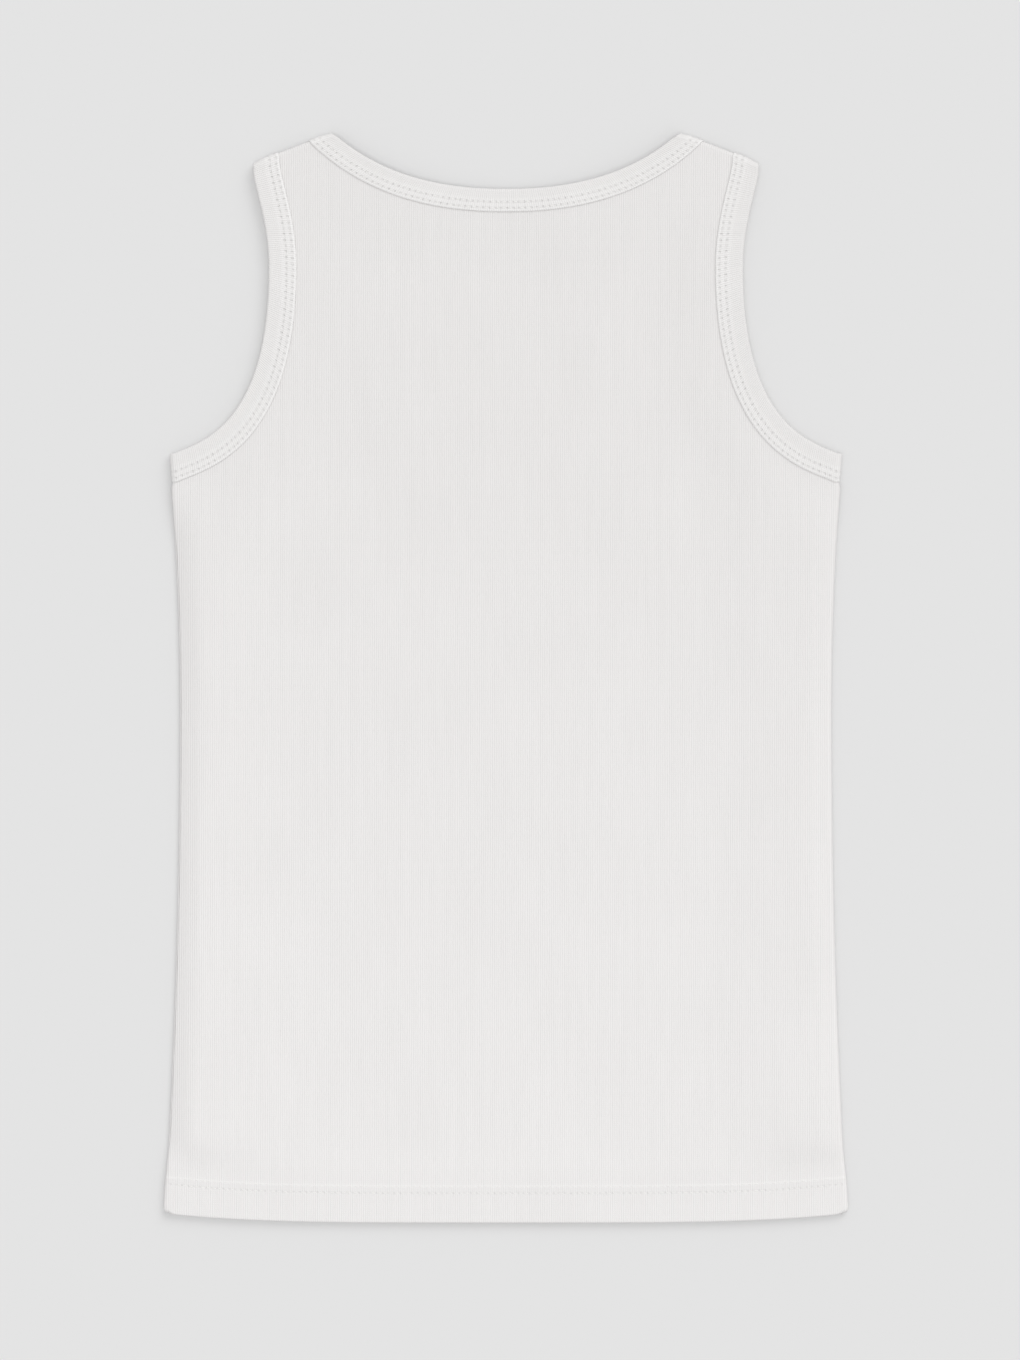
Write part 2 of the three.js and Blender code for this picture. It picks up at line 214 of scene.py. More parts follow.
def hem_line(x):
    return HEM_MIDDLE + HEM_SIDE_RISE * (np.abs(x) / HEM_SIDE_AT) ** HEM_POWER


CORNER_LEVEL = hem_line(HEM_SIDE_AT)
HEM_TOP = CORNER_LEVEL + HEM_DEPTH + HEM_EASE + HEM_TOP_MARGIN


def side_half(y):
    """Half width of the laid garment: a shallow waist, a flare at the hem and rounded corners."""
    above = y > WAIST_Y
    reach = np.where(above, UNDERARM[1] - WAIST_Y, WAIST_Y - HIP_LEVEL)
    gain = np.where(above, CHEST_HALF, HIP_HALF) - WAIST_HALF
    flare = FLARE * smoothstep(-y, -FLARE_START, -FLARE_END)
    down = np.maximum(0, HEM_CORNER - (y - CORNER_LEVEL))
    corner = HEM_CORNER - np.sqrt(np.maximum(0, HEM_CORNER**2 - down**2))
    return WAIST_HALF + gain * ((y - WAIST_Y) / reach) ** 2 + flare - corner


def unit(vectors):
    return vectors / np.maximum(np.linalg.norm(vectors, axis=-1, keepdims=True), TINY)


def inset(line, distance):
    """A line moved to its right, with both ends run on past the folds that cut it."""
    along = unit(np.vstack([line[1:2] - line[:1], line[2:] - line[:-2], line[-1:] - line[-2:-1]]))
    moved = line + distance * np.column_stack([along[:, 1], -along[:, 0]])
    before = moved[:1] - END_REACH * along[:1]
    after = moved[-1:] + END_REACH * along[-1:]
    return np.vstack([before, moved, after])


def clip(line, side):
    """Keeps the stretch where side is positive, and ends it where that side is zero."""
    kept = []
    values = side(line)
    for k, point in enumerate(line):
        if k > 0 and values[k - 1] * values[k] < 0:
            part = values[k - 1] / (values[k - 1] - values[k])
            kept.append(mix(line[k - 1], point, part))
        if values[k] >= 0:
            kept.append(point)
    return np.array(kept)


def lengths(line):
    return np.concatenate([[0], np.cumsum(np.linalg.norm(np.diff(line, axis=0), axis=1))])


def resample(line, steps):
    sums = lengths(line)
    target = np.linspace(0, sums[-1], steps + 1)
    return np.column_stack([np.interp(target, sums, line[:, axis]) for axis in range(line.shape[1])])


def straight(start, end, fractions):
    return mix(np.asarray(start, float), np.asarray(end, float), np.asarray(fractions)[:, None])


def distance_to(line, x, y):
    """Distance to a line, negative on the left of its way down, which is the cloth side of a neck edge."""
    shape = np.shape(x)
    points = np.column_stack([np.ravel(x), np.ravel(y)])
    start = line[:-1]
    step = line[1:] - start
    best = np.full(len(points), np.inf)
    sign = np.ones(len(points))
    for a, d in zip(start, step):
        away = points - a
        part = np.clip((away @ d) / (d @ d), 0, 1)
        rest = np.linalg.norm(away - part[:, None] * d, axis=1)
        closer = rest < best
        best = np.where(closer, rest, best)
        sign = np.where(closer, np.where(away[:, 0] * d[1] - away[:, 1] * d[0] > 0, 1, -1), sign)
    return (best * sign).reshape(shape)


# The shoulder fold: its plan direction, its outward side, and the line it turns about
SHOULDER_ALONG = unit(np.array(SHOULDER_TIP) - np.array(HIGH_POINT))
SHOULDER_OUT = np.array([-SHOULDER_ALONG[1], SHOULDER_ALONG[0]])
SHOULDER_AXIS = np.array(HIGH_POINT) - FOLD_INSET * SHOULDER_OUT


def below_shoulder(points):
    return -((points - SHOULDER_AXIS) @ SHOULDER_OUT)


def inside_side(points):
    return side_half(points[:, 1]) - FOLD_INSET - points[:, 0]


def armhole_inset(distance):
    return clip(clip(inset(ARMHOLE_EDGE, distance), below_shoulder), inside_side)


def neck_inset(line, distance):
    return clip(clip(inset(line, -distance), below_shoulder), lambda points: points[:, 0])


# Corners that the folded layers round off together: place, outward direction, depth and reach
ROUNDED_CORNERS = [
    (SHOULDER_TIP, (0.82, 0.57), 1.0, 4.0),
    (HIGH_POINT, (-0.19, 0.98), 0.7, 3.4),
]


def rounded(places):
    """Draws the cloth in towards the garment at the shoulder's corners, on both sides."""
    x = np.abs(places[:, 0])
    moved = np.zeros((len(places), 2))
    for corner, outward, depth, reach in ROUNDED_CORNERS:
        gap = (x - corner[0]) ** 2 + (places[:, 1] - corner[1]) ** 2
        moved += np.outer(depth * np.exp(-gap / reach**2), outward)
    moved[:, 0] *= np.sign(places[:, 0])
    return np.column_stack([places[:, :2] - moved, places[:, 2]])


# Heights of the cloth. A crease bends by a share of its length, and fades over these shares of it
CREASE_BEND = 0.12
CREASE_FADE_IN = (-0.15, 0.3)
CREASE_FADE_OUT = (0.7, 1.15)


def crease(x, y, start, end, width, height):
    """A soft ridge, or a trough where height is negative, that fades along its own length."""
    start = np.array(start, float)
    step = np.array(end, float) - start
    length = np.linalg.norm(step)
    along = ((x - start[0]) * step[0] + (y - start[1]) * step[1]) / length**2
    across = ((x - start[0]) * step[1] - (y - start[1]) * step[0]) / length
    bend = CREASE_BEND * length * (along - along**2)
    ends = smoothstep(along, *CREASE_FADE_IN) * (1 - smoothstep(along, *CREASE_FADE_OUT))
    return height * ends * np.exp(-(((across - bend) / width) ** 2))


# Creases of the back panel, placed from the photograph: start, end, half width, height
BACK_CREASES = [
    ((-128, 60), (-118, -40), 9, 0.5),
    ((-112, 78), (-60, 30), 11, 0.35),
    ((122, 88), (108, 0), 10, 0.45),
    ((104, 60), (92, -30), 12, -0.3),
    ((-96, 120), (-82, 190), 8, 0.3),
    ((96, 118), (84, 186), 8, 0.35),
    ((-70, 170), (-30, 150), 12, 0.3),
    ((64, 168), (20, 140), 14, 0.3),
    ((-40, -60), (-70, -170), 16, 0.35),
    ((50, -40), (66, -150), 14, 0.3),
    ((-10, 60), (8, -60), 20, 0.25),
    ((-120, -110), (-104, -190), 10, 0.3),
    ((118, -100), (110, -196), 10, 0.35),
    ((-90, 222), (-98, 200), 7, -0.35),
    ((90, 224), (97, 200), 7, -0.35),
]

# The front panel's own creases, shallow because it lies on the floor
FRONT_CREASES = [
    ((-110, 40), (-96, -60), 14, 0.2),
    ((100, 64), (110, -30), 12, 0.2),
    ((-50, 20), (-20, -90), 18, 0.18),
    ((46, -20), (70, -140), 16, 0.2),
    ((-84, 150), (-92, 200), 9, 0.16),
    ((88, 140), (92, 196), 9, 0.16),
    ((-90, -120), (-60, -190), 14, 0.18),
]


def relief(creases, x, y):
    total = 0.0
    for start, end, width, height in creases:
        total = total + crease(x, y, start, end, width, height)
    return total


def armhole_share(x, y):
    return near(np.abs(distance_to(ARMHOLE_EDGE, x, y)), ARM_BAND + BAND_MARGIN, ARM_EASE)


def own_lift(neck_line, x, y):
    neck = near(np.abs(distance_to(neck_line, x, y)), NECK_BAND + BAND_MARGIN, NECK_EASE)
    return union(armhole_share(x, y), neck)


def sewn_share(neck_line, x, y):
    """How near the cloth is to sewing, where it has no room to move."""
    hem = near(y - hem_line(x), HEM_DEPTH + BAND_MARGIN, HEM_EASE)
    return union(own_lift(neck_line, x, y), hem)


def support(x, y):
    """Top of what lies under the back panel: bare floor in the front neckline, else the front piece."""
    from_neck = -distance_to(FRONT_NECK_EDGE, x, y)
    in_scoop = from_neck < 0
    ridge = np.where(in_scoop, near(-from_neck, BAND_MARGIN, SAG_EASE),
                     near(from_neck, NECK_BAND + BAND_MARGIN, RIDGE_EASE))
    rolled_side = near(side_half(y) - FOLD_INSET - x, 0, SIDE_EASE)
    hem = near(y - hem_line(x), HEM_DEPTH + BAND_MARGIN, HEM_EASE)
    arm = armhole_share(x, y)
    rise = union(ridge, rolled_side, hem, arm)
    crest = (SIDE_CREST - FULL_SUPPORT) * rolled_side * (1 - union(hem, arm))
    return mix(np.where(in_scoop, SCOOP_LEVEL, BODY_LEVEL), FULL_SUPPORT, rise) + crest


def front_base(x, y):
    return WALL / 2 + LAYER * own_lift(FRONT_NECK_EDGE, np.abs(x), y)


def back_base(x, y):
    side = np.abs(x)
    return support(side, y) + WALL / 2 + LAYER * own_lift(BACK_NECK_EDGE, side, y)


def front_height(x, y):
    free = 1 - sewn_share(FRONT_NECK_EDGE, np.abs(x), y)
    inboard = smoothstep(side_half(y) - FOLD_INSET - np.abs(x), 0, SIDE_EASE)
    return front_base(x, y) + free * inboard * relief(FRONT_CREASES, x, y)


def back_height(x, y):
    side = np.abs(x)
    free = 1 - sewn_share(BACK_NECK_EDGE, side, y)
    from_side = side_half(y) - FOLD_INSET - side
    moved = smoothstep(from_side, 0, SIDE_EASE) * relief(BACK_CREASES, x, y)
    from_fold = side_half(y) - SEAM_RADIUS - WALL / 2 - side
    edge_drop = np.where(x < 0, LEFT_EDGE_DROP, RIGHT_EDGE_DROP)
    drop = edge_drop * (1 - np.sin(np.pi / 2 * np.clip(from_fold / EDGE_REACH, 0, 1)))
    return back_base(x, y) + free * (moved - drop)


def side_lowering(x, y):
    """How far the side fold's middle sinks where no hem or binding holds it up."""
    return SIDE_LOWER * (1 - sewn_share(FRONT_NECK_EDGE, x, y))


def front_middle(x, y):
    return front_base(x, y) + SEAM_RADIUS


def back_middle(x, y):
    return back_base(x, y) - SEAM_RADIUS


class Sheet:
    """Collects patches of a middle surface, and becomes a closed shell.

    Each patch is a grid of points, a grid of cloth coordinates (across the wales, along them), a grid
    of seam coordinates (stitch count along, distance from the sewn edge), its half thickness, and
    whether it is a mirror image, whose faces turn the other way.
    """

    def __init__(self):
        self.patches = []

    def add(self, points, cloth, seam, half=None, mirrored=False):
        half = np.full(points.shape[:2], WALL / 2) if half is None else half
        self.patches.append((points, cloth, seam, half, mirrored))

    def add_both(self, plan, place, coordinates, cloth=None):
        """A patch and its mirror image, each at its own side's heights."""
        cloth = plan if cloth is None else cloth
        for side in (1, -1):
            turned = cloth * (side, 1)
            self.add(place(plan * (side, 1)), turned, coordinates(turned), mirrored=side < 0)

    def merged(self):
        """One list of points, quads on it, and each quad's corners in the patches' own order."""
        points = np.vstack([patch[0].reshape(-1, 3) for patch in self.patches])
        keys = np.round(points * MERGE_STEPS_PER_MM).astype(np.int64)
        _, first, index = np.unique(keys, axis=0, return_index=True, return_inverse=True)
        corners = []
        start = 0
        for grid, _, _, _, mirrored in self.patches:
            rows, columns = grid.shape[:2]
            ids = start + np.arange(rows * columns).reshape(rows, columns)
            a, b, c, d = ids[:-1, :-1], ids[:-1, 1:], ids[1:, 1:], ids[1:, :-1]
            order = (a, d, c, b) if mirrored else (a, b, c, d)
            corners.append(np.stack(order, axis=-1).reshape(-1, 4))
            start += rows * columns
        corners = np.vstack(corners)
        return points[first], index.ravel(), corners, first

    def shell(self, name):
        points, index, corners, first = self.merged()
        quads = index[corners]
        a, b, c, d = (points[quads[:, k]] for k in range(4))
        normal = np.cross(c - a, d - b)
        sums = np.zeros_like(points)
        for k in range(4):
            np.add.at(sums, quads[:, k], normal)
        normals = unit(sums)
        half = np.concatenate([patch[3].ravel() for patch in self.patches])[first][:, None]
        count = len(points)
        places = np.vstack([points + normals * half, points - normals * half])
        edges = np.vstack([quads[:, [k, (k + 1) % 4]] for k in range(4)])
        edge_corners = np.vstack([corners[:, [k, (k + 1) % 4]] for k in range(4)])
        forward = edges[:, 0] * count + edges[:, 1]
        backward = edges[:, 1] * count + edges[:, 0]
        free = ~np.isin(forward, backward)
        rim = edges[free]
        first_corner, last_corner = edge_corners[free].T
        rim_quads = np.column_stack([rim[:, 0], rim[:, 0] + count, rim[:, 1] + count, rim[:, 1]])
        rim_order = np.column_stack([first_corner, first_corner, last_corner, last_corner])
        faces = np.vstack([quads, quads[:, ::-1] + count, rim_quads])
        order = np.vstack([corners, corners[:, ::-1], rim_order])
        maps = {
            "cloth": np.vstack([patch[1].reshape(-1, 2) for patch in self.patches])[order.ravel()],
            "seam": np.vstack([patch[2].reshape(-1, 2) for patch in self.patches])[order.ravel()],
        }
        return mesh_object(name, places, faces.tolist(), maps)


def mesh_object(name, places, faces, maps):
    mesh = bpy.data.meshes.new(name)
    mesh.from_pydata((rounded(places) * METRE).tolist(), [], faces)
    for map_name, values in maps.items():
        layer = mesh.uv_layers.new(name=map_name)
        layer.data.foreach_set("uv", values.astype(np.float32).ravel())
    mesh.polygons.foreach_set("use_smooth", np.ones(len(mesh.polygons), dtype=bool))
    mesh.update()
    obj = bpy.data.objects.new(name, mesh)
    bpy.context.scene.collection.objects.link(obj)
    return obj


def blended_plan(bottom, top, left, right, across, up):
    """A patch between four lines whose corners meet, blended from its edges."""
    u = np.asarray(across)[None, :, None]
    v = np.asarray(up)[:, None, None]
    edges = bottom[None] * (1 - v) + top[None] * v + left[:, None] * (1 - u) + right[:, None] * u
    corners = (bottom[0] * (1 - u) * (1 - v) + bottom[-1] * u * (1 - v)
               + top[0] * (1 - u) * v + top[-1] * u * v)
    return edges - corners


def with_height(plan, height):
    return np.dstack([plan, height(plan[..., 0], plan[..., 1])])


def seam_slit_angle(radius):
    return math.acos(SEAM_SLIT / 2 / (radius - WALL / 2))


def squared(value):
    """Turns a sine or cosine into a tighter, pressed fold's."""
    return np.sign(value) * np.abs(value) ** FOLD_SQUARENESS


def row_dip(distance, rows, dips):
    """How far stitched rows pull the cloth down, or raise it where a dip is negative."""
    return sum(dip * np.exp(-(((distance - row) / ROW_WIDTH) ** 2)) for row, dip in zip(rows, dips))


def hem_seam(plan):
    """Seam coordinates beside the hem: stitches along, distance up from the edge."""
    return np.dstack([plan[..., 0] / STITCH_PITCH, plan[..., 1] - hem_line(plan[..., 0])])


def panel(name, facing, neck_line, height, own_middle, other_middle, other_neck_line, strap_level,
          neck_columns, strap_columns, strap_rows, upper_rows):
    """One panel with its hem and its halves of the folds, and the paths of its stitched rows."""
    sheet = Sheet()
    hem_dips = HEM_DIPS if facing > 0 else FLOOR_HEM_DIPS

    def sewn_height(plan):
        points = with_height(plan, height)
        points[..., 2] -= facing * row_dip(hem_seam(plan)[..., 1], HEM_ROWS, hem_dips)
        return points

    def add_flat(plan):
        sheet.add_both(plan, sewn_height, hem_seam)

    # Cut edges under the bindings
    arm_cut = armhole_inset(CUT_INSET)
    neck_cut = neck_inset(neck_line, CUT_INSET)
    other_neck_cut = neck_inset(other_neck_line, CUT_INSET)
    past_parting = (arm_cut[:, 0] > ARMHOLE_PARTING[0]) & (arm_cut[:, 1] < ARMHOLE_PARTING[1])
    turn_off = int(np.argmax(past_parting))
    strap_off = int(np.argmax(arm_cut[:, 1] < strap_level[0]))
    neck_off = int(np.argmax(neck_cut[:, 1] < strap_level[1]))
    arm_corner = arm_cut[turn_off]
    strap_arm = arm_cut[strap_off]
    strap_neck = neck_cut[neck_off]

    # Side fold: the line it turns about, and the level where the two panels meet
    def axis_x(y):
        inner = side_half(y) - FOLD_INSET
        bound = near(np.abs(distance_to(ARMHOLE_EDGE, inner, y)), ARM_BAND, BOUND_EASE)
        return side_half(y) - mix(SEAM_RADIUS + WALL / 2, FOLD_INSET, bound)

    turn_angles = np.linspace(0, 1, TURN_STEPS + 1) * seam_slit_angle(SEAM_RADIUS)

    def add_side_turn(ys, dips):
        ys = np.asarray(ys, float)
        axis = axis_x(ys)
        middle = front_middle(axis, ys) - side_lowering(axis, ys)
        for side in (1, -1):
            top = height(side * axis, ys) - dips
            rise = np.abs(top - middle)
            before = height(side * (axis - SLOPE_STEP), ys) - dips
            slope = (top - before) / SLOPE_STEP
            angle = turn_angles[None, :]
            x = axis[:, None] + SEAM_RADIUS * np.sin(angle)
            z = middle[:, None] + facing * rise[:, None] * np.cos(angle)
            z += slope[:, None] * SEAM_RADIUS * np.sin(angle) * np.cos(angle)
            y = np.broadcast_to(ys[:, None], x.shape)
            points = np.dstack([side * x, y, z])
            along = axis[:, None] + SEAM_RADIUS * angle
            cloth = np.dstack([side * along, y])
            up = y - hem_line(axis)[:, None]
            seam = np.dstack([side * along / STITCH_PITCH, up])
            sheet.add(points, cloth, seam, mirrored=side < 0)

    # Block beside the side fold, from the hem to the underarm
    row_parts = np.linspace(0, 1, BODY_ROWS + 1)
    column_parts = np.linspace(0, 1, SIDE_COLUMNS + 1)
    arm_low = resample(arm_cut[turn_off:], SIDE_COLUMNS)
    underarm_y = arm_low[-1, 1]
    body_corner = np.array([arm_corner[0] - SIDE_BLOCK_LEAN, HEM_TOP])
    side_ys = mix(HEM_TOP, underarm_y, row_parts)
    side_line = np.column_stack([axis_x(side_ys), side_ys])
    side_bottom = straight(body_corner, side_line[0], column_parts)
    inner_line = straight(body_corner, arm_corner, row_parts)
    add_flat(blended_plan(side_bottom, arm_low, inner_line, side_line, column_parts, row_parts))
    add_side_turn(side_ys, np.zeros_like(side_ys))

    # Middle block, from the hem to the neckline
    arm_middle = resample(arm_cut[strap_off:turn_off + 1][::-1], upper_rows)
    right_line = np.vstack([inner_line, arm_middle[1:]])
    rise = (right_line[:, 1] - HEM_TOP) / (strap_arm[1] - HEM_TOP)
    neck_low = resample(neck_cut[neck_off:][::-1], neck_columns)
    centre_line = straight((0, HEM_TOP), neck_low[0], rise)
    strap_parts = np.linspace(0, 1, strap_columns + 1)
    strap_line = straight(strap_neck, strap_arm, strap_parts)
    top_line = np.vstack([neck_low, strap_line[1:]])
    across = top_line[:, 0] / strap_arm[0]
    body_bottom = straight(centre_line[0], body_corner, across)
    add_flat(blended_plan(body_bottom, top_line, centre_line, right_line, across, rise))

    # Strap, and its half of the fold over the shoulder
    neck_high = resample(neck_cut[:neck_off + 1][::-1], strap_rows)
    arm_high = resample(arm_cut[:strap_off + 1][::-1], strap_rows)
    shoulder = straight(neck_high[-1], arm_high[-1], strap_parts)
    up_parts = np.linspace(0, 1, strap_rows + 1)
    add_flat(blended_plan(strap_line, shoulder, neck_high, arm_high, strap_parts, up_parts))
    other_shoulder = straight(other_neck_cut[0], arm_high[-1], strap_parts)
    share = (turn_angles / math.pi)[:, None]
    own_level = own_middle(shoulder[:, 0], shoulder[:, 1])
    other_level = other_middle(other_shoulder[:, 0], other_shoulder[:, 1])
    middle = mix(own_level[None], other_level[None], share)
    out = SEAM_RADIUS * np.sin(turn_angles)[:, None]
    plan = mix(shoulder[None], other_shoulder[None], share[..., None]) + out[..., None] * SHOULDER_OUT
    level = middle + facing * SEAM_RADIUS * np.cos(turn_angles)[:, None]
    turned_length = (SEAM_RADIUS * turn_angles)[:, None, None] * SHOULDER_OUT
    sheet.add_both(plan, lambda points: np.dstack([points, level]), hem_seam, shoulder[None] + turned_length)

    # Hem: the outer layer, a fold at the edge, and the turned-up allowance inside up to the side fold
    body_row = np.vstack([body_bottom, side_bottom[1:]])
    axis_top = side_line[0, 0]
    fold_centre = (SEAM_RADIUS + LINING_RADIUS) / 2
    fold_radius = (SEAM_RADIUS - LINING_RADIUS) / 2
    edge_centre = fold_radius + WALL / 2
    hem_middle = WALL / 2 + SEAM_RADIUS

    def hem_plan(up):
        share_x = axis_x(hem_line(axis_top) + up) / axis_top
        return np.column_stack([body_row[:, 0] * share_x, hem_line(body_row[:, 0]) + up])

    fine_rows = np.arange(HEM_ROWS[0] - FINE_BELOW, HEM_ROWS[1] + FINE_ABOVE, FINE_STEP)
    low_rows = np.linspace(edge_centre, fine_rows[0], ROWS_BELOW_FINE)[:-1]
    high_rows = np.linspace(fine_rows[-1], HEM_DEPTH + HEM_EASE, ROWS_ABOVE_FINE)[1:]
    ups = np.concatenate([low_rows, fine_rows, high_rows])
    outer_plan = np.stack([*(hem_plan(up) for up in ups), body_row])
    fold_angles = math.pi * (1 - np.linspace(0, 1, FOLD_STEPS + 1)[:-1])
    inner_rows = [(HEM_DEPTH, LINING_RADIUS)]
    inner_rows += [(edge_centre - fold_radius * squared(math.sin(angle)),
                    fold_centre + fold_radius * squared(math.cos(angle))) for angle in fold_angles]
    inner_plan = np.stack([hem_plan(up) for up, _ in inner_rows])
    levels = np.array([hem_middle + facing * radius for _, radius in inner_rows])
    inner_levels = np.broadcast_to(levels[:, None], inner_plan.shape[:2])

    def hem_points(plans):
        inner = np.dstack([plans[:len(levels)], inner_levels])
        return np.vstack([inner, sewn_height(plans[len(levels):])])

    def hem_coordinates(plans):
        """Seam coordinates that keep the needle holes off the turned-up allowance."""
        seam = hem_seam(plans)
        seam[:len(levels), :, 1] = -HEM_DEPTH
        return seam

    sheet.add_both(np.vstack([inner_plan, outer_plan]), hem_points, hem_coordinates)
    turn_ys = outer_plan[:, -1, 1]
    add_side_turn(turn_ys, facing * row_dip(turn_ys - hem_line(axis_x(turn_ys)), HEM_ROWS, hem_dips))

    def hem_path(up, row_depth):
        """The outer face along one stitched row, from the left side fold to the right one."""
        end = axis_top - HEM_PATH_MARGIN
        xs = np.arange(-end, end, STITCH_PITCH / PATH_STEPS_PER_STITCH)
        ys = hem_line(xs) + up
        z = height(xs, ys) - facing * (row_depth - WALL / 2)
        points = np.column_stack([xs, ys, z])
        return points, np.tile([0, 0, facing], (len(xs), 1)), xs / STITCH_PITCH

    cloth_piece = sheet.shell(name)
    return cloth_piece, [hem_path(up, depth) for up, depth in zip(HEM_ROWS, hem_dips)]


# Bindings: rings of a folded strip, one leg over each face of the panels


def band_stations(edge_line, stitched_line, facing, middle):
    """Stations along a panel: folded edge, stitched edge, middle height, outward push, and facing."""
    steps = max(LEAST_STATIONS, round(lengths(edge_line)[-1] / STATION_STEP))
    edges = resample(edge_line, steps)
    stitched = resample(stitched_line, steps)
    return [(e, s, middle, np.zeros(2), facing) for e, s in zip(edges, stitched)]


def turn_stations(start, end, outward):
    """Stations round a fold of the garment, from one panel's end station to the other's."""
    angles = np.linspace(0, math.pi, 2 * TURN_STEPS + 1)[1:-1]
    start_level = start[2](start[0][0], start[0][1])
    end_level = end[2](end[0][0], end[0][1])
    stations = []
    for angle in angles:
        part = angle / math.pi
        level = mix(start_level, end_level, part)
        stations.append((mix(start[0], end[0], part), mix(start[1], end[1], part),
                         lambda x, y, level=level: level + 0 * x,
                         outward * math.sin(angle), start[4] * math.cos(angle)))
    return stations


def band_section(station, leg_parts):
    """A strip's section and half thickness: outer leg from the stitched edge, fold, and inner leg."""
    edge, stitched, middle, out, up = station
    pressed = np.linalg.norm(out)
    drop = PRESSED_DROP * pressed
    thin = WALL / 2 * (1 - PRESSED_THINNING * pressed)
    across = unit(edge - stitched)
    leg = np.linalg.norm(edge - stitched)
    distance = leg_parts * leg
    dips = row_dip(distance, BAND_ROWS, BAND_DIPS) + EDGE_DIP * np.exp(-((distance / EDGE_WIDTH) ** 2))
    dips = dips * (1 - PRESSED_SMOOTHING * pressed) + drop
    plan = straight(stitched, edge, leg_parts)
    levels = middle(plan[:, 0], plan[:, 1])

    def place(p, level, height):
        return np.column_stack([p + out * height[:, None], level + up * height])

    outer_leg = place(plan, levels, COVER_RADIUS - dips)
    angles = np.linspace(0, math.pi, FOLD_STEPS + 1)[1:-1]
    fold_plan = np.tile(edge, (len(angles), 1))
    turn = squared(np.cos(angles))
    turn_height = SEAM_RADIUS + np.where(turn > 0, LAYER - drop, LAYER) * turn
    fold = place(fold_plan, np.full(len(angles), levels[-1]), turn_height)
    fold[:, :2] += across * (LAYER * squared(np.sin(angles)))[:, None]
    inner_leg = place(plan[::-1], levels[::-1], np.full(len(plan), LINING_RADIUS))
    full = np.full(len(plan), WALL / 2)
    half = np.concatenate([np.full(len(plan), thin), mix(thin, WALL / 2, angles / math.pi), full])
    return np.vstack([outer_leg, fold, inner_leg]), half


def binding(name, stations, mirrored=False):
    """A closed ring of cloth, with the paths of its stitched rows on its outer face."""
    leg = np.linalg.norm(stations[0][0] - stations[0][1])
    row_stops = np.arange(BAND_ROWS[0], BAND_ROWS[1] + ROW_STOP_SLACK, ROW_STOP_STEP)
    fold_stops = np.linspace(BAND_ROWS[1] + PAST_ROWS, leg, FOLD_STOPS)
    stops = np.concatenate([LIP_STOPS, row_stops, fold_stops])
    leg_parts = stops / leg
    closed = [*stations, stations[0]]
    sections = [band_section(station, leg_parts) for station in closed]
    points = np.stack([section for section, _ in sections])
    half = np.stack([thickness for _, thickness in sections])
    if mirrored:
        points = points * np.array([-1, 1, 1])
    row_column = int(np.argmin(np.abs(stops - sum(BAND_ROWS) / 2)))
    run = lengths(points[:, row_column])
    count = round(run[-1] / STITCH_PITCH)
    stitch = run / run[-1] * count
    section = lengths(points[0])
    along = np.broadcast_to(run[:, None], points.shape[:2])
    across = np.broadcast_to(section[None], points.shape[:2])
    half[:, :len(EDGE_TAPER)] *= EDGE_TAPER
    sheet = Sheet()
    seam = np.dstack([np.broadcast_to(stitch[:, None], points.shape[:2]), across])
    sheet.add(points, np.dstack([along, across]), seam, half, mirrored)
    piece = sheet.shell(name)
    paths = []
    for row in BAND_ROWS:
        column = int(np.argmin(np.abs(stops - row)))
        path = points[:, column]
        tangent = unit(np.roll(path[:-1], -1, axis=0) - np.roll(path[:-1], 1, axis=0))
        tangent = np.vstack([tangent, tangent[:1]])
        beside = unit(points[:, column + 1] - points[:, column - 1])
        normal = np.cross(beside, tangent)
        if mirrored:
            normal = -normal
        paths.append((path + normal * half[:, column, None], normal, stitch))
    return piece, paths


def mirror_station(station):
    flip = np.array([-1, 1])
    return (station[0] * flip, station[1] * flip, station[2], station[3] * flip, station[4])


def armhole_binding(name, mirrored):
    folded = armhole_inset(BAND_FOLD)
    stitched = armhole_inset(ARM_BAND)
    back = band_stations(folded, stitched, 1, back_middle)
    front = band_stations(folded, stitched, -1, front_middle)[::-1]
    sideways = np.array([1.0, 0.0])
    stations = [*back, *turn_stations(back[-1], front[0], sideways),
                *front, *turn_stations(front[-1], back[0], SHOULDER_OUT)]
    return binding(name, stations, mirrored)


def neck_binding(name):
    def whole(line, facing, middle):
        half = band_stations(neck_inset(line, BAND_FOLD), neck_inset(line, NECK_BAND), facing, middle)
        return [*half, *(mirror_station(station) for station in half[:-1][::-1])]

    back = whole(BACK_NECK_EDGE, 1, back_middle)
    front = whole(FRONT_NECK_EDGE, -1, front_middle)[::-1]
    out_left = SHOULDER_OUT * np.array([-1, 1])
    stations = [*back, *turn_stations(back[-1], front[0], out_left),
                *front, *turn_stations(front[-1], back[0], SHOULDER_OUT)]
    return binding(name, stations)


# Stitches: short lengths of thread that arch over the cloth and dive in at both ends
STITCH_COVER = 0.8
STITCH_RINGS = 7
STITCH_SIDES = 6
STITCH_ARCH = 0.06
STITCH_SINK = 0.22
STITCH_TAPER = 0.55
STITCH_END_POWER = 4


